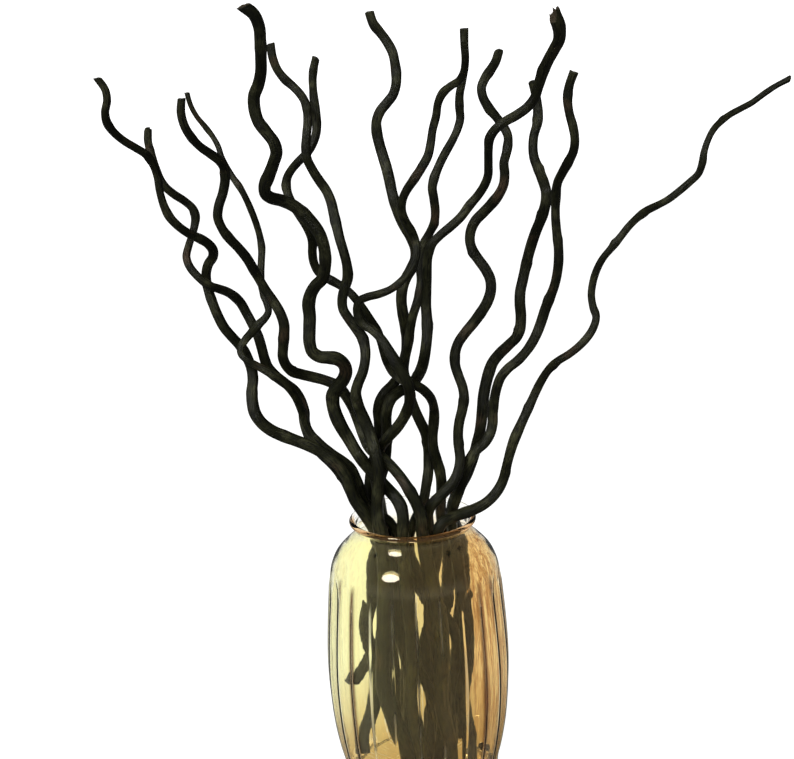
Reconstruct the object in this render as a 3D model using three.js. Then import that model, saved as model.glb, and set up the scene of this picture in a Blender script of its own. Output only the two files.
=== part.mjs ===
// A bunch of curly willow stems standing in a ribbed glass vase.
// Millimetres, +Z up, +Y away from the front. The origin is the centre of the vase's flat underside.
import * as THREE from 'three';

// ---- Driving dimensions ----
const VASE_HEIGHT = 203;
const WALL = 3.2; // glass thickness of the vase's side
const FLOOR = 7; // glass thickness of the vase's bottom
const LIP_ROUND = 1.6; // radius of the rounded edge round the mouth
const VASE_SIDES = 40;

const STEM_SIDES = 8;
const SAMPLE_STEP = 4; // spacing of the points at which the stems are kept apart
const STEM_GAP = 1.1; // least gap between two stems' bark
const GLASS_GAP = 0.9; // least gap between bark and glass
const FOOT_SWELL = 0.2; // how much thicker than drawn a stem grows down inside the vase
const SWELL_BELOW = 195; // the height at which that starts
const SWELL_FULL = 150; // the height at which it is complete
const RING_STEP = 11; // spacing of a stem's rings where it runs straight
const RINGS_PER_RADIAN = 0.9; // extra rings for each radian that a stem turns
const DEPTH_CURL = 5; // how far a stem curls to and fro in depth
const CURL_PITCH = 82; // length of stem between two such curls
const SETTLE_ROUNDS = 260;
const SETTLE_REACH = 5; // samples on each side over which a push is spread
const NECK_TOP = 206; // above this height the glass no longer holds the stems in
const DRAWN_ABOVE = 188; // above this height the stems only give way in depth

// ---- The vase's outer profile: radius and height, from the foot to just under the lip ----
const FOOT_RADIUS = 44;
const PROFILE = [
  [47.5, 2.5], [52, 11], [57, 26], [61.5, 48], [64.2, 75], [64.8, 98], [63.8, 122],
  [62, 145], [60.6, 159], [58.6, 169.5], [54.5, 178], [48.5, 184.5], [42.5, 190], [40.2, 195],
  [42, 199.5],
];

// ---- The stems ----
// The part above the mouth is drawn in elevation on the upright plane through the vase's axis, in true
// perspective from SIGHT: each point is across, height and sometimes depth, and a depth that isn't stated
// runs evenly between its neighbours. The part inside the vase is listed as places: across, depth, height.
// Both run from the cut foot up. girth lists the drawn thicknesses, evenly spread from foot to tip.
const SIGHT = new THREE.Vector3(-6.9, -665, 441.7);
const DRAWING_OFFSET = [0.45, -0.5]; // the drawing's zero lies this far across and above the origin

const STEMS = {
  stem_left_outer: {
    girth: [9.2, 9.2, 9.6, 8.6, 7.7, 6.4, 5.6, 5],
    inside: [[-4, -20, 9.5], [-8, -18, 50], [-6, -18, 90], [-12, -16, 125], [-20, -11, 165]],
    drawn: [
      [-27, 195, -10], [-35.5, 209], [-41.2, 219], [-44.2, 232, -14], [-53, 245], [-70, 257, -16],
      [-86, 264], [-99, 272], [-105.5, 282, -8], [-106.5, 295], [-105, 310, 0], [-111, 327],
      [-121, 340], [-127, 354], [-131, 372, 6], [-130, 382], [-125, 391], [-129, 398.5, -12],
      [-141, 405.5], [-151, 415], [-156, 428], [-158, 445, -34], [-163, 456], [-176, 465], [-185, 474],
      [-187.5, 482], [-185, 495], [-190, 505, -60],
    ],
  },
  stem_left_inner: {
    girth: [7.6, 7.6, 7.5, 7.4, 7, 5.8, 5.5, 5.3],
    inside: [[-47, 2, 77], [-38, 3, 88], [-26, 5, 108], [-24, 6, 130], [-25, 6, 160]],
    drawn: [
      [-27, 198, 3], [-35, 207], [-41.5, 218, 2], [-45, 228], [-50, 237], [-57, 246, 0], [-64, 254],
      [-68.5, 262], [-71.5, 272, 10], [-72, 284], [-76.5, 295.5], [-87, 304.5], [-94.5, 313, 12],
      [-96.7, 322], [-99.5, 335], [-105, 348], [-110, 358.5, 8], [-118, 365.5], [-129, 370, -6],
      [-138, 378], [-143, 388], [-140.5, 398], [-136.5, 408, 10], [-135, 418], [-139, 424], [-147, 430],
      [-154, 437, 10], [-157.5, 446], [-160, 456], [-161.5, 464], [-161, 471, 34],
    ],
  },
  stem_left_thin: {
    girth: [7.2, 7, 6.8, 6, 5.4, 5.2, 4.4, 3.3],
    inside: [[15, -6, 9.5], [11, -6, 60], [-4, -7, 100], [-6, -10, 155]],
    drawn: [
      [-15, 197, -11], [-21, 203, -12], [-29.5, 208, -7], [-34.3, 216.5], [-36.5, 226.5, -3], [-39.5, 235],
      [-43, 242], [-52, 249, -3], [-61, 257], [-67, 264], [-70.5, 271], [-73, 280], [-75.5, 288, -4],
      [-81, 298], [-90, 306.5], [-101, 314], [-108.5, 319, -14], [-112, 324], [-111, 328.5],
      [-107, 333.5], [-98, 343, -6], [-91.5, 350], [-93, 360], [-95, 370, 16], [-94, 383], [-93, 395],
      [-95, 407.5], [-99, 420.5], [-103.5, 431.5, 30], [-109.5, 441.5], [-114.5, 452, 36], [-117, 461],
      [-121.7, 469.5], [-128.5, 478.5], [-132.5, 487], [-134, 494, 48],
    ],
  },
  stem_left_middle: {
    girth: [8, 8.6, 9.4, 8.2, 7.4, 6.8, 6.5, 5.5],
    inside: [[20, -28, 9.5], [20, -30, 40], [14, -36, 80], [16, -36, 120], [12, -33, 160]],
    drawn: [
      [6, 190, -29], [6, 200, -30], [3, 211], [-2, 221.5, -27], [-8, 232], [-14, 240, -17], [-20, 246],
      [-26.5, 252, -8], [-30, 259], [-33.5, 268], [-37, 279], [-42, 290, 10], [-48, 298], [-58, 303],
      [-70, 306.5], [-79, 310, -4], [-83.5, 318], [-82.5, 330], [-81.5, 342], [-85, 353],
      [-92, 365, -16], [-99, 379], [-105, 390], [-113, 399.5], [-118.5, 408, -30], [-120.5, 417],
      [-117, 427], [-114, 437], [-114, 447, -44], [-119, 453], [-128, 460], [-135, 469], [-138.5, 479],
      [-137.5, 490.5, -70],
    ],
  },
  stem_thick: {
    girth: [8.6, 8.6, 8.4, 8.4, 9, 8.8, 8.4, 8, 7.6, 7.4],
    inside: [[4, -31, 9.5], [0, -34, 40], [-6, -38, 80], [-4, -40, 120], [-6, -37, 160]],
    drawn: [
      [-8, 189, -31], [-7.3, 197, -31], [-7.5, 206, -29], [-10, 214], [-15, 221, -19], [-21, 228],
      [-27, 236, -13], [-33, 244], [-38, 252], [-43, 262, -6], [-48.5, 273, -8], [-51.5, 284],
      [-51, 293], [-46, 299.5, -16], [-42, 306], [-43, 313], [-49, 317.5], [-58, 318.5, -22],
      [-64, 323], [-65, 333], [-64, 345], [-64, 356], [-60.5, 365, -30], [-54, 371.5], [-51.5, 381],
      [-51.5, 391], [-54.5, 402], [-63, 413.5, -40], [-71, 420.5], [-80, 424.5], [-87, 427, -52],
      [-88.5, 432], [-85, 440], [-81, 449], [-79, 457, -62], [-83, 465], [-89, 473], [-91.5, 482],
      [-91, 491], [-87, 499], [-85.5, 508], [-85, 520, -86], [-85, 532], [-88, 540], [-94, 545, -96],
    ],
  },
  stem_front_left: {
    girth: [9.2, 9.4, 9.8, 8.4, 7, 6.6, 6.2, 5.4],
    inside: [
      [-8, -31, 9.5], [-10, -31, 35], [-18, -30, 62], [-25, -28, 90], [-24, -28, 115], [-20.5, -21, 158],
    ],
    drawn: [
      [-23.5, 190, -15], [-25, 202, -18], [-24.5, 216], [-22.5, 228], [-22.5, 238, -24], [-24.5, 250],
      [-27, 262], [-31, 274], [-35, 286, -18], [-35.5, 295], [-31.5, 304], [-28.5, 314], [-28, 324, -6],
      [-30, 332], [-36, 341], [-41.5, 351], [-41, 361, 0], [-37.5, 370], [-37.5, 381], [-41, 396],
      [-44, 412, 14], [-47, 426], [-54, 438], [-59.5, 449, 20], [-60, 459], [-58, 472],
      [-58.5, 484, 34], [-63, 492], [-72, 501], [-77, 510], [-78.5, 521, 54],
    ],
  },
  stem_back_left: {
    girth: [8, 8, 7.8, 7.4, 6.6, 5.6, 6.2, 5.8, 5.2],
    inside: [[17, 27, 9.5], [16, 25, 70], [18, 21, 110], [25, 14, 150], [24, 13, 178]],
    drawn: [
      [19.5, 205, 14], [20, 216], [20.5, 228, 10], [19, 239], [16.5, 248], [15.5, 256, 4], [16, 264],
      [17, 272], [17, 280.5], [15, 287], [10, 293], [4, 297, 4], [-2, 300], [-8.7, 305], [-13.8, 314],
      [-16.4, 325, 14], [-18.6, 334], [-25, 345], [-32, 356], [-39, 364, 22], [-49, 370.5], [-57, 377],
      [-59.7, 387], [-59.5, 397.5], [-64, 409, 16], [-70, 419], [-74, 430], [-73, 439], [-66.5, 447],
      [-58, 455, 44], [-53, 465], [-52, 476], [-53, 489], [-53, 502], [-50.5, 511.5, 84],
    ],
  },
  stem_tall_middle: {
    girth: [7.6, 7.6, 7.5, 7.2, 7, 7.2, 6.6, 5.8],
    inside: [[22, 11, 22], [20, 8, 70], [18, 6, 110], [3, 6, 150], [-3.5, 5, 182]],
    drawn: [
      [2, 201.5, 2], [7.1, 212], [9, 221], [11, 230, 6], [12, 240], [12.5, 250, 13], [11.5, 260], [8, 269],
      [4, 279], [1, 289, 12], [-1, 299], [-2.5, 309], [-1, 317], [0, 322, 24], [0.3, 334], [-1.5, 346],
      [-2, 358], [0.5, 367.5, 16], [5.5, 376], [8.5, 385], [7, 393], [2, 403, 22], [-2.5, 414],
      [-5.5, 426], [-7.5, 438], [-10.5, 450], [-13, 461, 40], [-13.5, 471], [-9.5, 479.5],
      [-3.5, 485.5], [0, 494], [0, 505], [-2, 515, 62], [-7.5, 524], [-13, 531.5], [-15, 538, 72],
    ],
  },
  stem_front_middle: {
    girth: [8, 8, 7.8, 7.5, 7.4, 7, 5.3, 6.1, 4.9, 5.3],
    inside: [
      [-41, -12, 28], [-40, -12, 45], [-33, -12, 64], [-29, -11, 95], [-36, -10, 124], [-28, -8, 155],
    ],
    drawn: [
      [-22, 196, -6], [-22.5, 210], [-24, 224, -4], [-25, 236], [-23.5, 246, -4], [-20, 254.5],
      [-14, 261.5, -12], [-7, 269], [-1.5, 278], [1, 287], [0, 297, -30], [-4, 306], [-10, 317],
      [-16, 328], [-23, 336, -26], [-29.5, 341], [-32, 349], [-30, 356], [-21.5, 358.5],
      [-11, 361.5, -18], [-2.5, 367], [4.5, 374.5], [9, 384.5], [8, 396, -12], [3.5, 405], [0.5, 414],
      [2, 423], [8, 432], [14.5, 441, -24], [20, 451], [21.5, 461], [25, 473], [27.5, 484],
      [33, 490, -40], [41, 495], [44.5, 503], [44.5, 515], [44.5, 526, -54],
    ],
  },
  stem_back_middle: {
    girth: [8, 7.8, 7.6, 7.2, 6.5, 6.2, 5.8, 5.2],
    inside: [[-9, 25, 9.5], [-16, 22, 60], [-22, 20, 110], [-25, 18, 155]],
    drawn: [
      [-25, 200, 17], [-28, 210], [-29.5, 220, 17], [-29, 230], [-27, 240, 16], [-24, 250],
      [-22, 260, 13], [-21, 270], [-21.5, 280], [-18.5, 289.5], [-12, 296, 10], [-6.5, 302],
      [-2.5, 311], [1.5, 325, 12], [4, 340], [8.5, 354], [11.5, 366, 16], [11.5, 378], [13, 389],
      [18, 398.5], [22, 407, 12], [22, 418], [21, 429], [25, 440], [31, 451], [37, 461, 20],
      [40.5, 471], [40, 482], [42, 492], [44.5, 502, 30],
    ],
  },
  stem_broken_tip: {
    girth: [8.8, 8.8, 8.4, 8, 7.6, 7.8, 6.8, 5.8, 6, 8.6],
    inside: [[-6, 14, 9.5], [-10, 12, 60], [-6, 9, 100], [-8, 10, 150], [-13, 10, 180]],
    drawn: [
      [-21, 201, 8], [-23.5, 210], [-23.5, 221, 7], [-21, 233], [-18, 243, 5], [-16.5, 254],
      [-16, 265, 3], [-15.5, 278], [-11.5, 288.5, -8], [-3, 294], [5, 300], [10, 309, -14], [13, 322],
      [14.5, 336], [14, 350], [15, 365, -12], [16, 379], [19, 390.5], [28, 399, -14], [37.5, 406.5],
      [45, 415.5], [53, 424.5], [57.5, 434, -30], [58, 447], [59.5, 459], [67, 466.5], [78, 472.5, -44],
      [87, 479.5], [91, 489], [95, 500], [100, 509], [104.5, 517, -74], [104.5, 525], [102, 531.5, -84],
    ],
  },
  stem_right_hooked: {
    girth: [9, 9.2, 9.4, 7.8, 7, 7.2, 7, 6, 5.8],
    inside: [[6, 8, 9.5], [11, 10, 60], [14, 5, 100], [11, -1, 145], [12, -6, 180]],
    drawn: [
      [11, 207, -14], [16, 213], [23, 220, -14], [30.5, 229], [34, 241, -8], [33.5, 253], [33.5, 265],
      [36.5, 278], [38, 289, 4], [35.5, 299], [32.5, 309], [33.5, 321], [39.5, 330.5, 8], [48, 340.5],
      [56, 353], [58, 364], [53.5, 375, 18], [47, 384], [44.5, 393], [47, 403], [55.5, 412, 20],
      [64, 421], [68.5, 431], [68, 441], [70.5, 451, 10], [70.5, 460], [64.5, 469.5], [57.5, 479],
      [54.5, 488, 30], [57.5, 496], [63, 503], [66, 510.5, 44],
    ],
  },
  stem_right_back: {
    girth: [8.6, 8.6, 8.2, 8, 7.6, 7.2, 6.8, 5.8],
    inside: [[20, 27, 12], [25, 27, 60], [32, 23, 110], [36, 17, 155]],
    drawn: [
      [28, 202, 15], [29, 212], [33, 222], [39, 233, 14], [43.5, 245], [47, 257, 18], [49.5, 270],
      [51, 285], [54.3, 300, 30], [59, 311.5], [68, 320.5], [75.5, 328.5], [77.5, 340, 46], [77, 354],
      [80, 368], [84, 384], [88.5, 397, 40], [93.5, 409], [95.5, 421, 30], [92, 433], [87.5, 445],
      [87.5, 457, 56], [90.5, 468], [90, 480], [87.5, 491, 80],
    ],
  },
  stem_right_front: {
    girth: [8.2, 8, 7.6, 7.2, 6.8, 6.6, 6.2, 5.7],
    inside: [[34, -6, 9.5], [34, -6, 38], [29, -6, 62], [34, 0, 90], [35, -2, 120], [32, 0, 155]],
    drawn: [
      [27, 204, 1], [30, 213], [34, 224, 0], [38.5, 236], [44, 247], [52.5, 255, 0], [56.5, 264],
      [57.5, 277], [59.5, 288, 4], [62.5, 298], [68, 305], [75.5, 311], [83, 319.5], [89, 330.5, 10],
      [94.5, 346], [100.5, 361], [103, 374], [103, 387, 4], [101.5, 401], [101.5, 415, -6], [103, 428],
      [109, 439], [114, 450, -24], [113.5, 461], [110.5, 473], [110, 485], [114, 497, -40],
    ],
  },
  stem_right_outer: {
    girth: [8.8, 8.8, 8.4, 8, 7.4, 6, 5.2, 5, 4.4, 3.8],
    inside: [[10, -18, 9.5], [16, -20, 60], [15, -22, 100], [9, -24, 140], [13, -24, 175]],
    drawn: [
      [19, 195.5, -25], [26.5, 200], [36, 203.5, -17], [47, 207.5], [56, 214.5], [63, 225, -10],
      [66.5, 238], [71, 253], [78, 269], [84.5, 283, -16], [91, 296], [99, 306.5], [112, 315],
      [122.5, 325, -22], [128, 337], [125, 349], [126, 362], [131, 375, -18], [141, 387], [151, 399],
      [161, 407], [174, 413, -10], [186, 422], [196, 431.5], [198.5, 444], [204, 457, 0], [214, 466],
      [228, 473], [240, 481], [252, 487, 12],
    ],
  },
};

// ---- Which stem passes in front where two cross: front, behind, drawn height ----
const CROSSINGS = [
  ['left_outer', 'left_inner', 448], ['left_outer', 'left_inner', 404],
  ['left_inner', 'left_outer', 374], ['left_outer', 'left_inner', 250],
  ['left_outer', 'left_inner', 215], ['left_outer', 'left_thin', 248], ['left_thin', 'left_outer', 326],
  ['left_outer', 'left_thin', 215], ['left_middle', 'left_thin', 485],
  ['left_middle', 'left_thin', 449], ['left_middle', 'left_thin', 368],
  ['left_thin', 'left_inner', 342], ['left_thin', 'left_inner', 305], ['left_thin', 'left_inner', 275],
  ['left_thin', 'back_middle', 225], ['thick', 'front_left', 515], ['thick', 'back_left', 415],
  ['thick', 'back_left', 375], ['thick', 'left_middle', 300], ['front_left', 'thick', 235],
  ['front_left', 'left_middle', 275], ['front_left', 'left_middle', 250],
  ['front_left', 'left_thin', 208], ['front_left', 'back_left', 475], ['front_left', 'back_left', 452],
  ['front_left', 'back_left', 366], ['front_left', 'front_middle', 235],
  ['front_left', 'broken_tip', 235], ['front_left', 'back_middle', 235],
  ['front_middle', 'front_left', 342], ['front_middle', 'back_left', 355],
  ['front_middle', 'back_left', 325], ['front_middle', 'back_left', 300],
  ['front_middle', 'tall_middle', 400], ['front_middle', 'tall_middle', 372],
  ['front_middle', 'tall_middle', 300], ['front_middle', 'back_middle', 495],
  ['front_middle', 'back_middle', 300], ['front_middle', 'back_middle', 250],
  ['front_middle', 'broken_tip', 295], ['front_middle', 'broken_tip', 262],
  ['broken_tip', 'back_middle', 392], ['broken_tip', 'front_middle', 385],
  ['broken_tip', 'tall_middle', 385], ['broken_tip', 'back_middle', 360],
  ['broken_tip', 'back_middle', 292], ['broken_tip', 'back_middle', 250],
  ['broken_tip', 'tall_middle', 297], ['broken_tip', 'right_hooked', 467],
  ['broken_tip', 'right_back', 483], ['back_left', 'broken_tip', 298],
  ['back_left', 'back_middle', 305], ['back_left', 'tall_middle', 302],
  ['back_left', 'tall_middle', 258], ['back_middle', 'tall_middle', 330],
  ['back_middle', 'tall_middle', 305], ['left_middle', 'broken_tip', 245],
  ['left_middle', 'front_middle', 248], ['left_middle', 'back_middle', 250],
  ['left_middle', 'thick', 250], ['thick', 'front_middle', 232], ['thick', 'broken_tip', 226],
  ['thick', 'back_middle', 238], ['left_middle', 'right_hooked', 207],
  ['left_middle', 'tall_middle', 214], ['right_hooked', 'tall_middle', 209],
  ['right_hooked', 'back_left', 218], ['right_hooked', 'right_front', 236],
  ['right_hooked', 'right_back', 228], ['right_front', 'right_back', 418],
  ['right_front', 'right_back', 285], ['right_front', 'right_back', 238],
  ['right_outer', 'right_front', 203], ['right_outer', 'right_back', 203],
  ['right_outer', 'right_hooked', 205], ['left_middle', 'right_outer', 197],
];
const CROSSING_REACH = 26; // how far above and below its height a crossing counts

// ---- Curves ----
const at = (list, share) => {
  const place = share * (list.length - 1);
  const low = Math.min(Math.floor(place), list.length - 2);
  return THREE.MathUtils.lerp(list[low], list[low + 1], place - low);
};

// A drawn point at its depth: it lies on the sight line through its place in the drawing.
function inSpace(across, height, depth) {
  const drawn = new THREE.Vector3(across + DRAWING_OFFSET[0], 0, height + DRAWING_OFFSET[1]);
  return drawn.sub(SIGHT).multiplyScalar(1 + depth / -SIGHT.y).add(SIGHT);
}

// The depths of a route's points, with the unstated ones run evenly between their neighbours.
function fillDepths(route) {
  const stated = route.map((p, i) => i).filter((i) => route[i].length === 3);
  return route.map((p, i) => {
    const low = stated.findLast((s) => s <= i);
    const high = stated.find((s) => s >= i);
    return low === high ? p[2] : THREE.MathUtils.mapLinear(i, low, high, route[low][2], route[high][2]);
  });
}

// Evenly spaced samples of one stem, each with its place, radius and side-to-side share along the stem.
function sampleStem(name, { girth, inside, drawn }, order) {
  const depths = fillDepths(drawn);
  const places = [
    ...inside.map(([x, y, z]) => new THREE.Vector3(x, y, z)),
    ...drawn.map(([x, z], i) => inSpace(x, z, depths[i])),
  ];
  const curve = new THREE.CatmullRomCurve3(places, false, 'centripetal');
  curve.arcLengthDivisions = 900;
  const count = Math.round(curve.getLength() / SAMPLE_STEP);
  return curve.getSpacedPoints(count).map((place, i) => {
    const raised = THREE.MathUtils.smoothstep(place.z, DRAWN_ABOVE + 20, DRAWN_ABOVE + 110);
    const curl = Math.sin((2 * Math.PI * i * SAMPLE_STEP) / CURL_PITCH + 2.4 * order);
    const along = place.clone().sub(SIGHT);
    place.addScaledVector(along, (raised * DEPTH_CURL * curl) / along.y);
    const scale = (place.y - SIGHT.y) / -SIGHT.y;
    const swell = 1 + FOOT_SWELL * (1 - THREE.MathUtils.smoothstep(place.z, SWELL_FULL, SWELL_BELOW));
    return { place, radius: (at(girth, i / count) / 2) * scale * swell, push: new THREE.Vector3() };
  });
}

// ---- Keeping the stems apart ----
const drawnHeight = (p) => SIGHT.z + ((p.z - SIGHT.z) * -SIGHT.y) / (p.y - SIGHT.y);

// +1 where stem a lies in front of stem b at this drawn height, -1 where behind, 0 where it isn't stated.
function frontness(a, b, height) {
  let found = 0;
  let nearest = CROSSING_REACH;
  for (const [front, behind, z] of CROSSINGS) {
    const away = Math.abs(z - height);
    const pair = [`stem_${front}`, `stem_${behind}`].join();
    const sign = pair === [a, b].join() ? 1 : pair === [b, a].join() ? -1 : 0;
    if (sign && away < nearest) {
      found = sign;
      nearest = away;
    }
  }
  return found;
}

// Two samples that are too close are pushed apart: along the sight line above the mouth, which keeps the
// drawing as it is, and level inside the vase.
function pushApart(nameA, a, nameB, b) {
  const need = a.radius + b.radius + STEM_GAP;
  const apart = a.place.clone().sub(b.place);
  if (Math.abs(apart.z) > 3 * need || Math.abs(apart.x) > need) return;
  if (Math.min(a.place.z, b.place.z) > DRAWN_ABOVE) {
    const sight = a.place.clone().add(b.place).multiplyScalar(0.5).sub(SIGHT).normalize();
    const deep = apart.dot(sight);
    const across = Math.sqrt(Math.max(apart.lengthSq() - deep * deep, 0));
    if (across >= need) return;
    const stated = frontness(nameA, nameB, drawnHeight(a.place));
    const side = stated ? -stated : Math.sign(deep) || 1;
    const short = Math.sqrt(need * need - across * across) - side * deep;
    if (short <= 0) return;
    a.push.addScaledVector(sight, (side * short) / 2);
    b.push.addScaledVector(sight, (-side * short) / 2);
    return;
  }
  const short = need - apart.length();
  if (short <= 0) return;
  apart.z *= 0.2;
  apart.setLength(short / 2);
  a.push.add(apart);
  b.push.sub(apart);
}

// The clear radius inside the glass at a height.
function clearRadius(z) {
  const i = PROFILE.findIndex(([, height]) => height > z);
  if (i === 0) return PROFILE[0][0] - WALL - 2;
  if (i < 0) return PROFILE.at(-1)[0] - WALL;
  const [[r0, z0], [r1, z1]] = [PROFILE[i - 1], PROFILE[i]];
  return THREE.MathUtils.mapLinear(z, z0, z1, r0, r1) - WALL - 0.4;
}

function keepInVase(sample) {
  const { place, radius } = sample;
  if (place.z > NECK_TOP) return;
  const most = clearRadius(place.z) - radius - GLASS_GAP;
  const out = Math.hypot(place.x, place.y);
  if (out > most) {
    place.x *= most / out;
    place.y *= most / out;
  }
}

// Spreads each push over the neighbouring samples, so that a stem gives way in a smooth bow.
function spreadPushes(samples) {
  const largest = samples.map((s) => s.push.clone());
  samples.forEach((sample, i) => {
    sample.push.set(0, 0, 0);
    let weight = 0;
    for (let k = -SETTLE_REACH; k <= SETTLE_REACH; k++) {
      const other = largest[i + k];
      if (!other) continue;
      const share = 1 - Math.abs(k) / (SETTLE_REACH + 1);
      sample.push.addScaledVector(other, share);
      weight += share;
    }
    sample.push.multiplyScalar(1.1 / weight);
  });
}

function settle(stems) {
  const names = Object.keys(stems);
  for (let round = 0; round < SETTLE_ROUNDS; round++) {
    names.forEach((nameA, i) => {
      names.slice(i + 1).forEach((nameB) => {
        for (const a of stems[nameA]) {
          for (const b of stems[nameB]) pushApart(nameA, a, nameB, b);
        }
      });
    });
    for (const name of names) {
      spreadPushes(stems[name]);
      for (const sample of stems[name]) {
        sample.place.add(sample.push);
        sample.push.set(0, 0, 0);
        keepInVase(sample);
      }
    }
  }
}

// ---- Solids ----
// A closed tube round a stem's samples: its rings are closer where it bends, and its ends are cut flat.
function stemGeometry(samples) {
  const curve = new THREE.CatmullRomCurve3(samples.map((s) => s.place), false, 'centripetal');
  curve.arcLengthDivisions = 1200;
  const fine = 4 * samples.length;
  const tangents = Array.from({ length: fine + 1 }, (_, i) => curve.getTangentAt(i / fine));
  const effort = [0];
  for (let i = 1; i <= fine; i++) {
    const turn = tangents[i].angleTo(tangents[i - 1]);
    effort.push(effort[i - 1] + curve.getLength() / fine / RING_STEP + turn * RINGS_PER_RADIAN);
  }
  const rings = Math.round(effort.at(-1));
  const stations = Array.from({ length: rings + 1 }, (_, k) => {
    const wanted = (effort.at(-1) * k) / rings;
    const i = Math.max(effort.findIndex((e) => e >= wanted - 1e-9), 1);
    return (i - 1 + (wanted - effort[i - 1]) / (effort[i] - effort[i - 1])) / fine;
  });
  const positions = [];
  const side = new THREE.Vector3(0, 1, 0);
  stations.forEach((t) => {
    const share = THREE.MathUtils.clamp(t, 0, 1);
    const tangent = curve.getTangentAt(share);
    side.addScaledVector(tangent, -side.dot(tangent)).normalize();
    const other = new THREE.Vector3().crossVectors(tangent, side);
    const centre = curve.getPointAt(share);
    const radius = at(samples.map((s) => s.radius), share);
    for (let k = 0; k < STEM_SIDES; k++) {
      const angle = (2 * Math.PI * k) / STEM_SIDES;
      const point = centre.clone().addScaledVector(side, radius * Math.cos(angle));
      positions.push(...point.addScaledVector(other, radius * Math.sin(angle)).toArray());
    }
  });
  const index = [];
  for (let ring = 0; ring < rings; ring++) {
    for (let k = 0; k < STEM_SIDES; k++) {
      const [a, b] = [ring * STEM_SIDES + k, ring * STEM_SIDES + ((k + 1) % STEM_SIDES)];
      index.push(a, b, a + STEM_SIDES, b, b + STEM_SIDES, a + STEM_SIDES);
    }
  }
  const footCentre = positions.length / 3;
  positions.push(...curve.getPointAt(0).toArray(), ...curve.getPointAt(1).toArray());
  for (let k = 0; k < STEM_SIDES; k++) {
    const next = (k + 1) % STEM_SIDES;
    index.push(footCentre, next, k);
    index.push(footCentre + 1, rings * STEM_SIDES + k, rings * STEM_SIDES + next);
  }
  const geometry = new THREE.BufferGeometry();
  geometry.setAttribute('position', new THREE.Float32BufferAttribute(positions, 3));
  return geometry.setIndex(index);
}

// The vase is turned: up the outside from the flat foot, round the lip, down the inside to the floor.
function vaseGeometry() {
  const outer = PROFILE.map(([r, z]) => new THREE.Vector2(r, z));
  const inner = outer.map((p) => new THREE.Vector2(p.x - WALL, Math.max(p.y, FLOOR)));
  const lipRadius = PROFILE.at(-1)[0] + LIP_ROUND / 2;
  const lipHeight = VASE_HEIGHT - LIP_ROUND;
  const lip = [0, 0.25, 0.5, 0.75, 1].map((share) => {
    const angle = share * Math.PI;
    const across = lipRadius - LIP_ROUND + LIP_ROUND * Math.cos(angle);
    return new THREE.Vector2(across, lipHeight + LIP_ROUND * Math.sin(angle));
  });
  const floorEdge = new THREE.Vector2(inner[1].x - 2, FLOOR);
  const profile = [
    new THREE.Vector2(0, 0), new THREE.Vector2(FOOT_RADIUS, 0), ...outer, ...lip,
    ...inner.slice(1).reverse(), floorEdge, new THREE.Vector2(0, FLOOR),
  ];
  return new THREE.LatheGeometry(profile, VASE_SIDES).rotateX(Math.PI / 2);
}

// ---- The object ----
const bark = new THREE.MeshStandardMaterial({ color: 0x23211a, roughness: 0.75, metalness: 0 });
const glass = new THREE.MeshStandardMaterial({
  color: 0xd9a44e, roughness: 0.06, metalness: 0, transparent: true, opacity: 0.4,
});

const stems = {};
Object.entries(STEMS).forEach(([name, stem], order) => {
  stems[name] = sampleStem(name, stem, order);
});
settle(stems);

const bunch = new THREE.Group();
for (const [name, samples] of Object.entries(stems)) {
  const stem = new THREE.Mesh(stemGeometry(samples), bark.clone());
  stem.name = name;
  bunch.add(stem);
}
const vase = new THREE.Mesh(vaseGeometry(), glass);
vase.name = 'vase';
bunch.add(vase);

export default bunch;
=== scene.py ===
"""Black curly willow stems in a ribbed amber glass vase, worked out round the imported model.

Metres, +Z up, +Y away from the front. The origin is the centre of the vase's flat underside.
"""
import math

import bpy
import numpy as np
from mathutils import Matrix, Vector


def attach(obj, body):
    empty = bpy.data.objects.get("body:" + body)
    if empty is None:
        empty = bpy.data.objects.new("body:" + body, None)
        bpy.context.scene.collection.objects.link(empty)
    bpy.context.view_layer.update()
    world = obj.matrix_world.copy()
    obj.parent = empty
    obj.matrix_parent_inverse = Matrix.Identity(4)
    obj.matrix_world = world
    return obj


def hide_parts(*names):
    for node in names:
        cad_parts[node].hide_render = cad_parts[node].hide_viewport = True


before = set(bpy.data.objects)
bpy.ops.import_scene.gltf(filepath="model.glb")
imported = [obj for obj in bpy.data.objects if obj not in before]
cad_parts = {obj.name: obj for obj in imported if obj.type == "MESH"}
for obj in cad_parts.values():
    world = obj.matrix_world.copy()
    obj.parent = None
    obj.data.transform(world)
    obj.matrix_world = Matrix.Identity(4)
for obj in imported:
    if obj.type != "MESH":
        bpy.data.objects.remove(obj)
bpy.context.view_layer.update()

MM = 0.001
TURN = 2 * np.pi

# ---- Sizes of the bark's relief and of the glass ----
BARK_STEP = 1.0 * MM  # spacing of the rows up a stem
BARK_SIDES = 36
# Ridges round the stem, and their height in mm.
WRINKLES = ((2, 0.09), (3, 0.075), (5, 0.07), (8, 0.06), (13, 0.045))
BUD_SPACING = (26, 58)  # least and most length of stem between two bud scars, in mm
BUD_HEIGHT = (0.25, 0.6)  # least and most height of a bud scar, in mm

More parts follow.
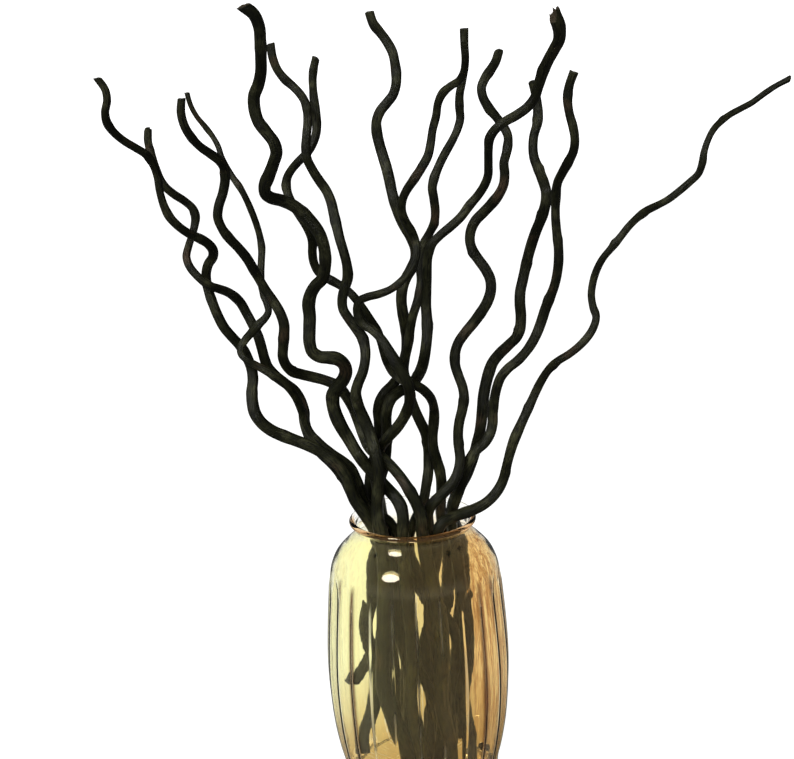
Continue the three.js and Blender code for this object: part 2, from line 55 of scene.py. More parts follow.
FLUTES = 24
FLUTE_DEPTH = 0.95 * MM
FLUTE_TOP = 167 * MM  # height of the arched top of a flute at its middle
FLUTE_ARCH = 8 * MM  # how much lower the arch is at the ridges
FLUTE_TURN = 1 / 18  # where the first ridge stands, as a share of a flute
INNER_FLUTE_DEPTH = 0.85 * FLUTE_DEPTH
RIDGE_WIDTH = 0.065  # half the width of a ridge, as a share of a flute
WALL = 2.3 * MM
GLASS_FLOOR = 7 * MM
PUNT = 1.6 * MM  # how far the middle of the underside is domed up
HEEL = 2.4 * MM  # radius of the edge of the foot
LIP = 1.9 * MM  # radius of the rolled lip
CORNER = 9 * MM  # radius inside, where the wall meets the floor
BODY_TOP = 160 * MM  # height at which the rows up the wall change their spacing

# How a stem's tip is cut: slant, raggedness in mm, and the direction that the slant faces, in turns.
TIPS = {
    "stem_left_outer": (0.45, 0.25, 0.3),
    "stem_left_inner": (0.15, 2.6, 0.1),
    "stem_left_thin": (0.25, 0.35, 0.2),
    "stem_left_middle": (0.3, 0.3, 0.6),
    "stem_thick": (0.6, 0.35, 0.25),
    "stem_front_left": (0.25, 0.3, 0.7),
    "stem_back_left": (0.35, 0.4, 0.2),
    "stem_tall_middle": (0.2, 0.3, 0.4),
    "stem_front_middle": (0.05, 0.2, 0.5),
    "stem_back_middle": (0.1, 0.3, 0.0),
    "stem_broken_tip": (0.35, 2.4, 0.75),
    "stem_right_hooked": (0.3, 0.35, 0.6),
    "stem_right_back": (0.15, 0.3, 0.1),
    "stem_right_front": (0.2, 0.3, 0.5),
    "stem_right_outer": (0.5, 0.4, 0.3),
}
FOOT_CUT = 0.55  # the feet are cut on the slant


# ---- Meshes ----
def surface(name, rows):
    """A mesh through a grid of places, rows x columns x 3, joined round each row, with a pole at both ends.

    The first and last rows are single places, repeated; each is closed with a fan of triangles.
    """
    count, sides = rows.shape[0] - 2, rows.shape[1]
    places = np.concatenate([rows[1:-1].reshape(-1, 3), rows[0, :1], rows[-1, :1]])
    here = np.arange(count * sides).reshape(count, sides)
    beside = np.roll(here, -1, axis=1)
    quads = np.stack([here[:-1], beside[:-1], beside[1:], here[1:]], axis=-1).reshape(-1, 4)
    first = np.stack([np.full(sides, count * sides), beside[0], here[0]], axis=-1)
    last = np.stack([np.full(sides, count * sides + 1), here[-1], beside[-1]], axis=-1)
    mesh = bpy.data.meshes.new(name)
    mesh.from_pydata(places.tolist(), [], quads.tolist() + first.tolist() + last.tolist())
    mesh.polygons.foreach_set("use_smooth", np.ones(len(mesh.polygons), bool))
    mesh.update()
    piece = bpy.data.objects.new(name, mesh)
    bpy.context.scene.collection.objects.link(piece)
    return piece


def grid_values(values):
    """A grid of values in the order of surface()'s places: the inner rows, then the two poles."""
    return np.concatenate([values[1:-1].reshape(-1, *values.shape[2:]), values[0, :1], values[-1, :1]])


def add_attribute(piece, name, values):
    """Stores one number, or one vector, for each vertex of a piece."""
    flat = grid_values(values).astype(np.float32)
    kind, field = ("FLOAT_VECTOR", "vector") if flat.ndim == 2 else ("FLOAT", "value")
    layer = piece.data.attributes.new(name, kind, "POINT")
    layer.data.foreach_set(field, flat.ravel())


def smooth_step(value, low, high):
    """0 below low, 1 above high, and 3t^2 - 2t^3 between them."""
    t = np.clip((value - low) / (high - low), 0, 1)
    return t * t * (3 - 2 * t)


def smooth_line(where, at, values):
    """A smooth line through numbers or places given at distances: cubic Hermite, with the slope at each
    one taken from its two neighbours."""
    slopes = np.gradient(values, at, axis=0)
    low = np.clip(np.searchsorted(at, where, side="right") - 1, 0, len(at) - 2)
    gap = at[low + 1] - at[low]
    t = (where - at[low]) / gap
    if values.ndim == 2:
        gap, t = gap[:, None], t[:, None]
    return (
        (2 * t**3 - 3 * t**2 + 1) * values[low]
        + (t**3 - 2 * t**2 + t) * gap * slopes[low]
        + (3 * t**2 - 2 * t**3) * values[low + 1]
        + (t**3 - t**2) * gap * slopes[low + 1]
    )


# ---- Stems ----
def stem_rings(node):
    """The centres and radii of the rings of a packed stem, from foot to tip.

    Corners in the same place are merged. A cap's middle is a corner whose faces all share one normal;
    a corner's ring is its distance, counted in edges, from the middle of the lower cap.
    """
    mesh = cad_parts[node].data
    places = np.zeros(len(mesh.vertices) * 3)
    mesh.vertices.foreach_get("co", places)
    loops = np.zeros(len(mesh.loops), int)
    mesh.loops.foreach_get("vertex_index", loops)
    corners, same = np.unique(np.round(places.reshape(-1, 3), 6), axis=0, return_inverse=True)
    faces = same.ravel()[loops].reshape(-1, 3)
    a, b, c = (corners[faces[:, k]] for k in range(3))
    normals = np.cross(b - a, c - a)
    normals /= np.linalg.norm(normals, axis=1, keepdims=True) + 1e-12
    total = np.zeros_like(corners)
    meeting = np.zeros(len(corners))
    for k in range(3):
        np.add.at(total, faces[:, k], normals)
        np.add.at(meeting, faces[:, k], 1)
    flat = np.linalg.norm(total, axis=1) / meeting > 0.9995
    foot = np.flatnonzero(flat)[np.argmin(corners[flat][:, 2])]
    edges = np.concatenate([faces[:, [0, 1]], faces[:, [1, 2]], faces[:, [2, 0]]])
    ring = np.full(len(corners), -1)
    ring[foot] = 0
    while (ring < 0).any():
        reached = ring >= 0
        onward = edges[reached[edges[:, 0]] & ~reached[edges[:, 1]], 1]
        ring[onward] = ring.max() + 1
    count = ring.max() - 1
    centres = np.array([corners[ring == k + 1].mean(0) for k in range(count)])
    radii = np.array(
        [np.linalg.norm(corners[ring == k + 1] - centres[k], axis=1).mean() for k in range(count)]
    )
    return centres, radii


def fine_path(centres, radii):
    """Places, tangents, radii and lengths at every BARK_STEP along a smooth curve through the centres."""
    lengths = np.concatenate([[0], np.cumsum(np.linalg.norm(np.diff(centres, axis=0), axis=1))])
    where = np.linspace(0, lengths[-1], int(lengths[-1] / BARK_STEP) + 1)
    places = smooth_line(where, lengths, centres)
    tangents = np.gradient(places, where, axis=0)
    tangents /= np.linalg.norm(tangents, axis=1, keepdims=True)
    return places, tangents, np.interp(where, lengths, radii), where


def wander(rng, where, pitch, size):
    """A smooth random line over where: random values every pitch, joined by smooth steps, times size."""
    count = int(where[-1] / pitch) + 3
    values = rng.normal(0, 1, count)
    place = where / pitch
    low = place.astype(int)
    t = place - low
    t = t * t * (3 - 2 * t)
    return size * (values[low] * (1 - t) + values[low + 1] * t)


def bark_relief(rng, where, angle, radius):
    """Height of the bark over the plain round stem, and its knot mask, both rows x sides.

    The wrinkles are cosines round the stem whose phase and height drift along it. A bud scar is a
    bump, exp(-u^2 - v^2) over its length and its angle, with a small pit at its middle and a slight
    swelling right round the stem.
    """
    height = np.zeros((len(where), len(angle)))
    for folds, size in WRINKLES:
        phase = wander(rng, where, 34 * MM, 1.1)[:, None]
        strength = np.abs(1 + wander(rng, where, 22 * MM, 0.7))[:, None]
        height += size * MM * strength * np.cos(folds * angle[None] + phase)
    height += wander(rng, where, 9 * MM, 0.06 * MM)[:, None]
    height += radius[:, None] * wander(rng, where, 24 * MM, 0.03)[:, None]
    knots = np.zeros_like(height)
    bud, side = rng.uniform(8, 30), rng.uniform(0, TURN)
    while bud * MM < where[-1] - 6 * MM:
        u = (where[:, None] / MM - bud) / rng.uniform(1.6, 2.8)
        turn = (angle[None] - side + np.pi) % TURN - np.pi
        v = turn / rng.uniform(0.45, 0.7)
        size = rng.uniform(*BUD_HEIGHT)
        height += size * MM * np.exp(-(u**2) - v**2)
        height -= 0.8 * size * MM * np.exp(-((u * 2.6 + 0.5) ** 2) - (v * 2.4) ** 2)
        height += 0.22 * MM * np.exp(-((u / 1.7) ** 2))
        knots = np.maximum(knots, np.exp(-((u * 1.5) ** 2) - (v * 1.3) ** 2))
        bud += rng.uniform(*BUD_SPACING)
        side += 2.4 + rng.normal(0, 0.4)
    return height, knots


def cut_offset(rng, angle, slant, ragged, facing):
    """How far each side of a cut end stands out along the stem, in units of the radius, then in metres.

    A slanted cut stands out by the cosine of the angle; a broken one adds splinters, which are sharp
    random peaks round the end.
    """
    tilt = slant * np.cos(angle - facing * TURN)
    peaks = rng.normal(0, 1, len(angle))
    broad = np.interp(angle, np.linspace(0, TURN, 8), rng.normal(0, 1, 7)[[0, 1, 2, 3, 4, 5, 6, 0]])
    return tilt, ragged * MM * (0.45 * np.abs(peaks) + 0.6 * broad)


CAP = np.array([1.0, 0.985, 0.95, 0.86, 0.62, 0.3, 0.0])  # shares of the radius, from the rim to the middle


def stem_piece(node, order):
    """A stem's bark and cut ends: circles carried along its path, with the bark's relief added.

    Towards each end the rows lean over into the cut, and the cut face is a set of shrinking circles.
    """
    rng = np.random.default_rng(100 + order)
    places, tangents, radius, where = fine_path(*stem_rings(node))
    angle = np.arange(BARK_SIDES) * TURN / BARK_SIDES
    side = np.array([0.0, 1.0, 0.0]) - tangents[:, 1:2] * tangents
    side /= np.linalg.norm(side, axis=1, keepdims=True)
    other = np.cross(tangents, side)
    height, knots = bark_relief(rng, where, angle, radius)
    ends = []
    for at_foot in (True, False):
        slant, ragged, facing = (FOOT_CUT, 0.15, 0.25 * order) if at_foot else TIPS[node]
        tilt, rough = cut_offset(rng, angle, slant, ragged, facing)
        ends.append((tilt, rough, ragged))
    last = len(where) - 1
    row = np.concatenate([np.zeros(len(CAP), int), np.arange(len(where)), np.full(len(CAP), last)])
    share = np.concatenate([CAP[::-1], np.ones(len(where)), CAP])
    cut = np.concatenate([np.ones(len(CAP)), np.zeros(len(where)), np.ones(len(CAP))])
    from_foot, from_tip = where[row], where[-1] - where[row]
    size = (radius[row][:, None] + height[row]) * share[:, None]
    lift = np.zeros_like(size)
    for (tilt, rough, ragged), away, way in zip(ends, (from_foot, from_tip), (-1, 1)):
        reach = max(1.6 * radius.max(), 3 * ragged * MM)
        lean = np.clip(1 - away / reach, 0, 1)[:, None]
        hollow = -0.35 * ragged * MM * cut[:, None] * (1 - share[:, None] ** 2)
        lift += way * lean * (tilt[None] * size + rough[None] * share[:, None] ** 0.5 * lean + hollow)
    round_x, round_y = np.cos(angle)[None, :, None], np.sin(angle)[None, :, None]
    ray = side[row][:, None] * round_x + other[row][:, None] * round_y
    grid = places[row][:, None] + size[..., None] * ray + lift[..., None] * tangents[row][:, None]
    piece = surface("bark_" + node[5:], grid)
    grain = np.stack(
        [
            size / MM * np.cos(angle)[None],
            size / MM * np.sin(angle)[None],
            np.broadcast_to((where[row] / MM + 700 * order)[:, None], size.shape),
        ],
        axis=-1,
    )
    add_attribute(piece, "grain", grain)
    add_attribute(piece, "knot", knots[row] * (1 - cut)[:, None])
    add_attribute(piece, "cut", np.broadcast_to(cut[:, None], size.shape))
    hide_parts(node)
    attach(piece, "root")
    return piece


# ---- Vase ----
def vase_rings(node):
    """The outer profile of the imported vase: radius against height, from its foot to the edge of its lip."""
    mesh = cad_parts[node].data
    places = np.zeros(len(mesh.vertices) * 3)
    mesh.vertices.foreach_get("co", places)
    places = np.unique(np.round(places.reshape(-1, 3), 5), axis=0)
    radius = np.hypot(places[:, 0], places[:, 1])
    heights = np.unique(places[:, 2])
    return np.array([radius[places[:, 2] == z].max() for z in heights]), heights


def flute_cut(height, angle, depth):
    """How deep the flutes are cut at a height and angle: depth x (0.6 - u^2) across each flute, where u is
    -1 and 1 at its ridges, fading in above the foot and out under an arch that is lower at the ridges."""
    u = 2 * ((angle * FLUTES / TURN + FLUTE_TURN) % 1) - 1
    top = FLUTE_TOP - FLUTE_ARCH * u**2
    fade = smooth_step(top - height, 0, 7 * MM) * smooth_step(height, 1 * MM, 9 * MM)
    return depth * (0.6 - u**2) * fade


def vase_profile():
    """Radius, height and flute depth of each row of the vase: out under the domed foot, up the outside,
    round the rolled lip, down the inside and in across the floor."""
    radii, heights = vase_rings("vase")
    top = heights[-1]
    body = (heights > 2 * MM) & (heights < top - LIP)
    wall_r, wall_z = radii[body], heights[body]
    up = np.concatenate([np.linspace(wall_z[0], BODY_TOP, 74), np.linspace(0.1615, wall_z[-1], 44)])
    outer = smooth_line(up, wall_z, wall_r)
    heel = np.linspace(0, 0.5 * np.pi, 7)[:-1]
    heel_r = outer[0] - HEEL + HEEL * np.sin(heel)
    heel_z = up[0] - up[0] * np.cos(heel)
    under_r = np.array([0.0, 0.2, 0.45, 0.7, 0.85, 0.94]) * heel_r[0]
    under_z = PUNT * (1 - (under_r / heel_r[0] / 0.9).clip(0, 1) ** 2)
    lip = np.linspace(-0.35 * np.pi, 1.25 * np.pi, 15)
    rim = wall_r[-1] + 0.9 * MM
    lip_r = rim - 0.4 * MM + LIP * np.cos(lip)
    lip_z = top - LIP + LIP * np.sin(lip)
    down = np.concatenate(
        [np.linspace(lip_z[-1] - 0.5 * MM, BODY_TOP, 34), np.linspace(0.158, GLASS_FLOOR + CORNER, 40)]
    )
    inner = smooth_line(down, wall_z, wall_r) - WALL
    corner = np.linspace(0, 0.5 * np.pi, 8)[1:]
    corner_r = inner[-1] - CORNER * (1 - np.cos(corner))
    corner_z = GLASS_FLOOR + CORNER * (1 - np.sin(corner))
    floor_r = corner_r[-1] * np.array([0.85, 0.6, 0.3, 0.0])
    floor_z = np.full(4, GLASS_FLOOR)
    stretches = (
        (under_r, under_z, 0),
        (heel_r, heel_z, 0),
        (outer, up, FLUTE_DEPTH),
        (lip_r, lip_z, 0),
        (inner, down, INNER_FLUTE_DEPTH),
        (corner_r, corner_z, 0),
        (floor_r, floor_z, 0),
    )
    radius, height = (np.concatenate([stretch[k] for stretch in stretches]) for k in (0, 1))
    depth = np.concatenate([np.full(len(r), float(cut)) for r, _, cut in stretches])
    return radius, height, depth


def vase_piece():
    """The blown vase: its profile turned about its axis, with the flutes cut in and the radius a little
    uneven, by sines of the angle and the height."""
    radius, height, depth = (values[:, None] for values in vase_profile())
    sides = FLUTES * 18
    angle = (np.arange(sides) * TURN / sides)[None]
    z = np.broadcast_to(height, (len(height), sides))
    r = radius - flute_cut(z, angle, depth)
    uneven = 0.18 * MM * np.sin(2 * angle + 30 * z) + 0.12 * MM * np.sin(5 * angle - 45 * z + 1)
    r = np.where(radius > 20 * MM, r + uneven, r)
    piece = surface("vase_glass", np.stack([r * np.cos(angle), r * np.sin(angle), z], axis=-1))
    across = (angle * FLUTES / TURN + FLUTE_TURN + 0.5) % 1 - 0.5
    ridge = np.exp(-((across / RIDGE_WIDTH) ** 2)) * smooth_step(FLUTE_TOP - z, -2 * MM, 5 * MM)
    add_attribute(piece, "ridge", ridge)
    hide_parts("vase")
    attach(piece, "root")
    return piece


# ---- Materials ----
# Colours are linear red, green and blue; a colour in a set of stops comes after its place on the ramp.
BARK = (0.3, (0.004, 0.0042, 0.0013)), (0.5, (0.0098, 0.0103, 0.0037)), (0.72, (0.043, 0.043, 0.02))
RUBBED = (0.046, 0.03, 0.016)
# Painted shade: the bark is darkened in the furrows of its wrinkles.
FURROW_PAINTED_SHADE = (0.002, 0.0021, 0.0013)
KNOT = (0.004, 0.0035, 0.0025)
SPECK = (0.42, 0.41, 0.36)
CUT_WOOD = (0.5, (0.012, 0.010, 0.006)), (0.85, (0.05, 0.038, 0.022))

# The glass's amber with painted light in it: paler on the left and deeper orange on the right.
GLASS_AND_PAINTED_LIGHT = (  # from the left side to the right
    (0.0, (1.0, 1.0, 0.74)),
    (0.22, (1.0, 0.985, 0.67)),
    (0.5, (0.88, 0.78, 0.47)),
    (0.8, (0.87, 0.69, 0.4)),
    (1.0, (0.93, 0.79, 0.51)),
)
GLASS_EDGE = 66 * MM  # how far to each side that ramp reaches
STREAK = (0.44, 0.22, 0.08)
STREAKINESS = (0.0, 0.28), (0.16, 0.1), (0.3, 0.05), (0.7, 0.15), (0.85, 0.95), (1.0, 0.7)
# Painted light: the lip is painted copper.
LIP_PAINTED_LIGHT = (0.7, 0.37, 0.16)
# Painted light: the far half of the neck is painted paler.
FAR_NECK_PAINTED_LIGHT = (0.985, 0.975, 0.93)
HONEY_FOOT = (0.66, 0.48, 0.22)
# Painted shade: dark lines along the ridges, on the near flanks only.
RIDGE_PAINTED_SHADE = (0.06, 0.006, 0.001)
# Painted highlight: pale lines along the middle ridges.
RIDGE_PAINTED_HIGHLIGHT = (1.0, 0.98, 0.92)


def put(tree, kind, settings=(), **inputs):
    """Adds a node, sets its own settings, then fills or links its inputs: i0, i1 and so on by their
    number, others by name."""
    made = tree.nodes.new(kind)
    for name, value in dict(settings).items():
        setattr(made, name, value)
    for name, value in inputs.items():
        numbered = name[0] == "i" and name[1:].isdigit()
        socket = made.inputs[int(name[1:]) if numbered else name.replace("_", " ")]
        if isinstance(value, bpy.types.NodeSocket):
            tree.links.new(value, socket)
        else:
            socket.default_value = value
    return made


def maths(tree, operation, *values):
    """The result of a sum on numbers or sockets."""
    inputs = {"i%d" % k: value for k, value in enumerate(values)}
    return put(tree, "ShaderNodeMath", {"operation": operation}, **inputs).outputs[0]


def between(tree, value, low, high, first=0.0, last=1.0, kind="LINEAR"):
    """A value's way from low to high, as a number from first to last that stays put beyond them."""
    made = put(tree, "ShaderNodeMapRange", {"interpolation_type": kind}, Value=value)
    for k, number in enumerate((low, high, first, last), 1):
        made.inputs[k].default_value = number
    return made.outputs[0]


def scaled(tree, vector, factors):
    """A vector with each part multiplied by its own factor."""
    return put(tree, "ShaderNodeVectorMath", {"operation": "MULTIPLY"}, i0=vector, i1=factors).outputs[0]


def noise(tree, vector, scale, **settings):
    """Noise round 0.5 at a vector."""
    return put(tree, "ShaderNodeTexNoise", Vector=vector, Scale=scale, **settings).outputs[0]


def ramp(tree, value, *stops):
    """A colour ramp over a value: each stop is a place and a grey, or a place and a colour."""
    made = put(tree, "ShaderNodeValToRGB", Fac=value)
    line = made.color_ramp
    while len(line.elements) < len(stops):
        line.elements.new(0.5)
    for element, (place, colour) in zip(line.elements, stops):
        element.position = place
        element.color = (*colour, 1) if isinstance(colour, tuple) else (colour, colour, colour, 1)
    return made.outputs["Color"]


def blend(tree, share, first, second, mode="MIX"):
    """Mixes two colours by a share."""
    made = put(tree, "ShaderNodeMix", {"data_type": "RGBA", "blend_type": mode})
    for socket, value in ((made.inputs[0], share), (made.inputs[6], first), (made.inputs[7], second)):
        if isinstance(value, bpy.types.NodeSocket):
            tree.links.new(value, socket)
        elif isinstance(value, tuple):
            socket.default_value = (*value, 1)
        else:
            socket.default_value = value
    return made.outputs[2]


def new_group(name, inputs, outputs):
    """A shader node group with the named sockets, and its input and output nodes."""
    group = bpy.data.node_groups.new(name, "ShaderNodeTree")
    for label, kind, value in inputs:
        socket = group.interface.new_socket(label, in_out="INPUT", socket_type="NodeSocket" + kind)
        if value is not None:
            socket.default_value = value
    for label in outputs:
        group.interface.new_socket(label, in_out="OUTPUT", socket_type="NodeSocketFloat")
    return group, group.nodes.new("NodeGroupInput"), group.nodes.new("NodeGroupOutput")


def bark_grain_group():
    """Long fine wrinkles: noise on the grain coordinate, which runs round and along the stem in mm, with
    its length drawn out. Height is for bump, and is lumpy in places; Furrow is near 1 in the furrows, where
    shade is painted; Patch is a slow mottling."""
    group, given, out = new_group(
        "Bark grain",
        [("Grain", "Vector", None), ("Draw out", "Float", 0.12), ("Fineness", "Float", 1.0)],
        ["Height", "Furrow", "Patch"],
    )
    grain = given.outputs["Grain"]
    stretch = put(group, "ShaderNodeCombineXYZ", X=1.0, Y=1.0, Z=given.outputs["Draw out"])
    drawn = scaled(group, grain, stretch.outputs[0])
    coarse = noise(group, drawn, 1.3, Detail=4.0, Roughness=0.6)
    fine_scale = maths(group, "MULTIPLY", given.outputs["Fineness"], 4.2)
    fine = noise(group, drawn, fine_scale, Detail=3.0, Roughness=0.65)
    wrinkles = maths(group, "MULTIPLY_ADD", fine, 0.45, coarse)
    furrow = between(group, wrinkles, 0.74, 0.6, kind="SMOOTHSTEP")
    patch = noise(group, grain, 0.055, Detail=3.0, Roughness=0.6)
    rough_zone = between(group, noise(group, grain, 0.045, Detail=1.0), 0.55, 0.68, kind="SMOOTHSTEP")
    lumps = maths(group, "MULTIPLY", noise(group, grain, 0.75, Detail=2.0), rough_zone)
    height = maths(group, "MULTIPLY_ADD", lumps, 1.6, wrinkles)
    for label, value in (("Height", height), ("Furrow", furrow), ("Patch", patch)):
        group.links.new(value, out.inputs[label])
    return group


def specks_group():
    """Small sparse dots over a surface: cells of a Voronoi pattern whose middles are near, kept where the
    cell's own random value is high. Size is the dots' radius as a share of a cell."""
    numbers = [("Scale", "Float", 1.0), ("Size", "Float", 0.1), ("Rarity", "Float", 0.9)]
    group, given, out = new_group("Sparse specks", [("Vector", "Vector", None), *numbers], ["Mask"])
    vector, scale, size, rarity = (given.outputs[k] for k in ("Vector", "Scale", "Size", "Rarity"))
    cells = put(group, "ShaderNodeTexVoronoi", Vector=vector, Scale=scale)
    near = maths(group, "LESS_THAN", cells.outputs["Distance"], size)
    chance = put(group, "ShaderNodeSeparateColor", Color=cells.outputs["Color"]).outputs[0]
    kept = maths(group, "GREATER_THAN", chance, rarity)
    group.links.new(maths(group, "MULTIPLY", near, kept), out.inputs["Mask"])
    return group


def bark_material(grain_group, speck_group):
    """Near-black dyed bark with a faint olive cast, browner where it is rubbed, with painted shade in its
    furrows, dark in its knots, with pale specks, and brown wood on the cut ends."""
    material = bpy.data.materials.new("dyed willow bark")
    material.use_nodes = True
    tree = material.node_tree
    shader = tree.nodes["Principled BSDF"]
    grain = put(tree, "ShaderNodeAttribute", {"attribute_name": "grain"}).outputs["Vector"]
    knot = put(tree, "ShaderNodeAttribute", {"attribute_name": "knot"}).outputs["Fac"]
    cut = put(tree, "ShaderNodeAttribute", {"attribute_name": "cut"}).outputs["Fac"]
    wrinkle = put(tree, "ShaderNodeGroup", {"node_tree": grain_group}, Grain=grain)
    height, furrow, patch = (wrinkle.outputs[k] for k in ("Height", "Furrow", "Patch"))
    specks = put(
        tree, "ShaderNodeGroup", {"node_tree": speck_group}, Vector=grain, Scale=0.16, Size=0.055, Rarity=0.9
    )
    base = ramp(tree, patch, *BARK)
    rubbed = ramp(tree, noise(tree, grain, 0.034, Detail=2.0), (0.6, 0.0), (0.72, 1.0))
    base = blend(tree, rubbed, base, RUBBED)
    # Painted shade in the furrows.
    base = blend(tree, furrow, base, FURROW_PAINTED_SHADE)
    base = blend(tree, knot, base, KNOT)
    base = blend(tree, specks.outputs["Mask"], base, SPECK)
    base = blend(tree, cut, base, ramp(tree, height, *CUT_WOOD))
    tree.links.new(base, shader.inputs["Base Color"])
    rough = blend(tree, cut, ramp(tree, height, (0.45, 0.62), (0.9, 0.38)), (0.85, 0.85, 0.85))
    tree.links.new(rough, shader.inputs["Roughness"])
    shader.inputs["IOR"].default_value = 1.4
    shader.inputs["Specular IOR Level"].default_value = 0.26
    bump = put(tree, "ShaderNodeBump", Height=height, Strength=1.0, Distance=0.0006)
    tree.links.new(bump.outputs["Normal"], shader.inputs["Normal"])
    return material


def glass_streaks_group():
    """Upright streaks in drawn glass: noise on the object's place with its height squeezed, at two widths."""
    group, given, out = new_group(
        "Glass streaks", [("Vector", "Vector", None), ("Width", "Float", 1.0)], ["Broad", "Fine"]
    )
    squeezed = scaled(group, given.outputs["Vector"], (1.0, 1.0, 0.035))
    for label, scale in (("Broad", 60.0), ("Fine", 420.0)):
        streaks = noise(group, squeezed, maths(group, "MULTIPLY", given.outputs["Width"], scale), Detail=2.0)
        group.links.new(streaks, out.inputs[label])
    return group


def glass_colour(tree, place, x, y, z, streaks, ridge):
    """The glass's colour, with painted light in it, and a mask that is 1 on the painted highlight lines along
    the middle ridges.
    """
    # Painted light: the amber runs from pale yellow on the left to orange-brown on the right.
    across = between(tree, x, -GLASS_EDGE, GLASS_EDGE)
    drift = maths(tree, "MULTIPLY_ADD", streaks.outputs["Broad"], 0.34, across)
    tint = ramp(tree, maths(tree, "SUBTRACT", drift, 0.17), *GLASS_AND_PAINTED_LIGHT)
    streak = ramp(tree, streaks.outputs["Fine"], (0.51, 0.0), (0.59, 1.0))
    streak = blend(tree, 1.0, streak, ramp(tree, across, *STREAKINESS), "MULTIPLY")
    tint = blend(tree, streak, tint, STREAK)
    # Painted light: the lip is painted copper.
    tint = blend(tree, between(tree, z, 198.5 * MM, 201.5 * MM), tint, LIP_PAINTED_LIGHT)
    # Painted light: the far half of the neck is painted paler.
    far = between(tree, y, -4 * MM, 8 * MM)
    tint = blend(tree, maths(tree, "MULTIPLY", far, between(tree, z, 172 * MM, 190 * MM)), tint, FAR_NECK_PAINTED_LIGHT)
    tint = blend(tree, between(tree, z, 75 * MM, 12 * MM), tint, HONEY_FOOT)

    # Painted shade: dark lines along the ridges of the flanks, on the near half only.
    aside = maths(tree, "ABSOLUTE", x)
    flank = between(tree, aside, 37 * MM, 43 * MM)
    line = maths(tree, "POWER", ridge, 0.3)
    nearest_front = between(tree, aside, 50 * MM, 55 * MM, 1.0, 0.12)
    for mask in (flank, maths(tree, "LESS_THAN", y, 0.0), nearest_front):
        line = maths(tree, "MULTIPLY", line, mask)
    tint = blend(tree, line, tint, RIDGE_PAINTED_SHADE)

    # Painted highlight: pale lines, broken in places, along the middle ridges.
    crest = maths(tree, "MULTIPLY", maths(tree, "POWER", ridge, 3.0), maths(tree, "SUBTRACT", 1.0, flank))
    broken = noise(tree, scaled(tree, place, (60.0, 60.0, 22.0)), 1.0, Detail=2.0)
    breaks = ramp(tree, broken, (0.42, 0.0), (0.56, 1.0))
    ridge_highlight = maths(tree, "MULTIPLY", crest, breaks)
    return blend(tree, ridge_highlight, tint, RIDGE_PAINTED_HIGHLIGHT), ridge_highlight


def glass_material(streak_group):
    """Clear amber glass, with painted light: pale yellow on the left, honey in the middle and orange-brown on
    the right, with fine upright streaks, a lip painted copper, painted shade lines along the ridges of the
    flanks and broken painted highlight lines along the middle ones. The surface swirls a little on the
    shoulder."""
    material = bpy.data.materials.new("amber glass")
    material.use_nodes = True
    tree = material.node_tree
    shader = tree.nodes["Principled BSDF"]
    place = put(tree, "ShaderNodeTexCoord").outputs["Object"]
    axes = put(tree, "ShaderNodeSeparateXYZ", Vector=place)
    x, y, z = (axes.outputs[k] for k in "XYZ")
    streaks = put(tree, "ShaderNodeGroup", {"node_tree": streak_group}, Vector=place)
    ridge = put(tree, "ShaderNodeAttribute", {"attribute_name": "ridge"}).outputs["Fac"]
    tint, ridge_highlight = glass_colour(tree, place, x, y, z, streaks, ridge)
    tree.links.new(tint, shader.inputs["Base Color"])
    # The painted highlight lines are rougher as well.
    tree.links.new(maths(tree, "MULTIPLY_ADD", ridge_highlight, 0.6, 0.02), shader.inputs["Roughness"])
    shader.inputs["IOR"].default_value = 1.5
    shader.inputs["Transmission Weight"].default_value = 1.0
    shader.inputs["Specular Tint"].default_value = (1.0, 0.9, 0.68, 1)
    strength = between(tree, z, 162 * MM, 172 * MM, 0.04, 0.1)
    swirl = noise(tree, place, 48.0, Detail=1.0)
    swirls = put(tree, "ShaderNodeBump", Height=swirl, Strength=strength, Distance=0.002)
    bump = put(
        tree,
        "ShaderNodeBump",
        Height=streaks.outputs["Fine"],
        Strength=0.08,
        Distance=0.0003,
        Normal=swirls.outputs["Normal"],
    )
    tree.links.new(bump.outputs["Normal"], shader.inputs["Normal"])
    return material


# ---- Studio ----
# Name, strength, angular width in degrees, and where the light comes from.
LAMPS = ("key", 3.0, 22, (-0.48, -0.52, 0.74)), ("fill", 1.7, 50, (-0.15, -0.9, 0.4))
FLOOR_HALF = 90  # metres
SURROUND_SEEN = 1.4  # brightness of the surround when looked at
SURROUND_LIGHT = 0.1  # and as light on dull surfaces
CAMERA_PLACE = (-0.00687, -0.6649, 0.4417)
CAMERA_LENS = 45.34
CAMERA_PITCH, CAMERA_ROLL = math.radians(12), math.radians(2.4)


def seen_directly(tree):
    """1 for what is looked at directly or through the glass, 0 for light that falls on things."""
    light = put(tree, "ShaderNodeLightPath")
    return maths(tree, "MAXIMUM", light.outputs["Is Camera Ray"], light.outputs["Is Transmission Ray"])


def build_floor():
    """A wide pale floor, just under the origin so as not to touch the vase, that glows where it is seen."""
    corners = FLOOR_HALF * np.array([[-1.0, -1, 0], [1, -1, 0], [1, 1, 0], [-1, 1, 0]])
    sheet = bpy.data.meshes.new("studio_floor")
    sheet.from_pydata((corners - [0, 0, 0.3 * MM]).tolist(), [], [(0, 1, 2, 3)])
    floor = bpy.data.objects.new("studio_floor", sheet)
    bpy.context.scene.collection.objects.link(floor)
    paper = bpy.data.materials.new("pale paper")
    paper.use_nodes = True
    shade = paper.node_tree.nodes["Principled BSDF"]
    shade.inputs["Base Color"].default_value = (0.16, 0.16, 0.16, 1)
    shade.inputs["Roughness"].default_value = 0.9
    shade.inputs["Specular IOR Level"].default_value = 0.1
    shade.inputs["Emission Color"].default_value = (1, 1, 0.985, 1)
    paper.node_tree.links.new(seen_directly(paper.node_tree), shade.inputs["Emission Strength"])
    floor.data.materials.append(paper)


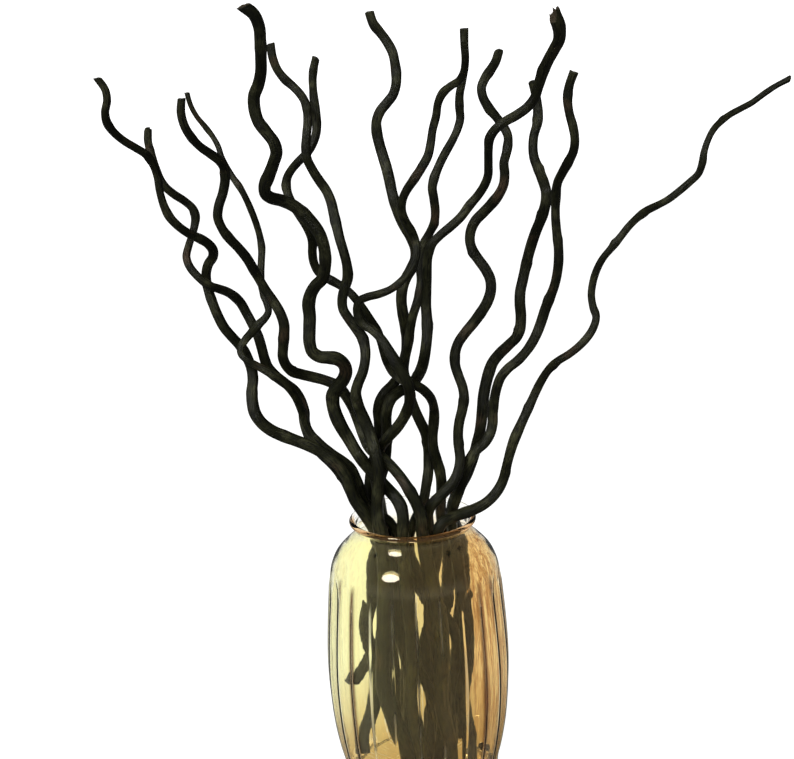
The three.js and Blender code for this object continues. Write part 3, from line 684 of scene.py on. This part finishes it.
def build_surround():
    """A white surround that is bright when looked at and dim as light; in reflections it is brightest
    near the horizon in front."""
    world = bpy.data.worlds.new("studio")
    bpy.context.scene.world = world
    world.use_nodes = True
    tree = world.node_tree
    way = put(tree, "ShaderNodeSeparateXYZ", Vector=put(tree, "ShaderNodeTexCoord").outputs["Generated"])
    level = between(tree, maths(tree, "ABSOLUTE", way.outputs["Z"]), 0.5, 0.15, kind="SMOOTHSTEP")
    in_front = between(tree, way.outputs["Y"], 0.1, -0.8, kind="SMOOTHSTEP")
    mirrored = maths(tree, "MULTIPLY_ADD", maths(tree, "MULTIPLY", level, in_front), 0.55, 0.04)
    glossy = put(tree, "ShaderNodeLightPath").outputs["Is Glossy Ray"]
    unseen = put(tree, "ShaderNodeMix", Factor=glossy, A=SURROUND_LIGHT, B=mirrored)
    strength = put(tree, "ShaderNodeMix", Factor=seen_directly(tree), A=unseen.outputs[0], B=SURROUND_SEEN)
    back = tree.nodes["Background"]
    back.inputs["Color"].default_value = (1, 1, 1, 1)
    tree.links.new(strength.outputs[0], back.inputs["Strength"])


def build_lamps():
    """A soft key light high on the left, and a broad fill from in front that isn't mirrored in the glass."""
    for name, energy, width, way in LAMPS:
        sun = bpy.data.lights.new(name, "SUN")
        sun.energy = energy
        sun.angle = math.radians(width)
        lamp = bpy.data.objects.new(name, sun)
        lamp.rotation_euler = Vector(way).to_track_quat("Z", "Y").to_euler()
        lamp.visible_glossy = lamp.visible_transmission = name == "key"
        bpy.context.scene.collection.objects.link(lamp)


def build_camera():
    """The camera looks a little down on the stems from in front, turned very slightly about its own axis."""
    data = bpy.data.cameras.new("camera")
    data.sensor_width = 36
    data.sensor_fit = "HORIZONTAL"
    data.lens = CAMERA_LENS
    data.clip_start = 0.01
    camera = bpy.data.objects.new("camera", data)
    bpy.context.scene.collection.objects.link(camera)
    ahead = Vector((0, math.cos(CAMERA_PITCH), -math.sin(CAMERA_PITCH)))
    up = Vector((0, math.sin(CAMERA_PITCH), math.cos(CAMERA_PITCH)))
    right = Vector((1, 0, 0))
    x = math.cos(CAMERA_ROLL) * right - math.sin(CAMERA_ROLL) * up
    y = math.sin(CAMERA_ROLL) * right + math.cos(CAMERA_ROLL) * up
    camera.matrix_world = Matrix.Translation(CAMERA_PLACE) @ Matrix((x, y, -ahead)).transposed().to_4x4()
    bpy.context.scene.camera = camera


def main():
    bark = bark_material(bark_grain_group(), specks_group())
    for order, node in enumerate(TIPS):
        stem_piece(node, order).data.materials.append(bark)
    vase_piece().data.materials.append(glass_material(glass_streaks_group()))
    build_floor()
    build_surround()
    build_lamps()
    build_camera()
    bpy.context.scene.view_settings.view_transform = "Standard"


main()
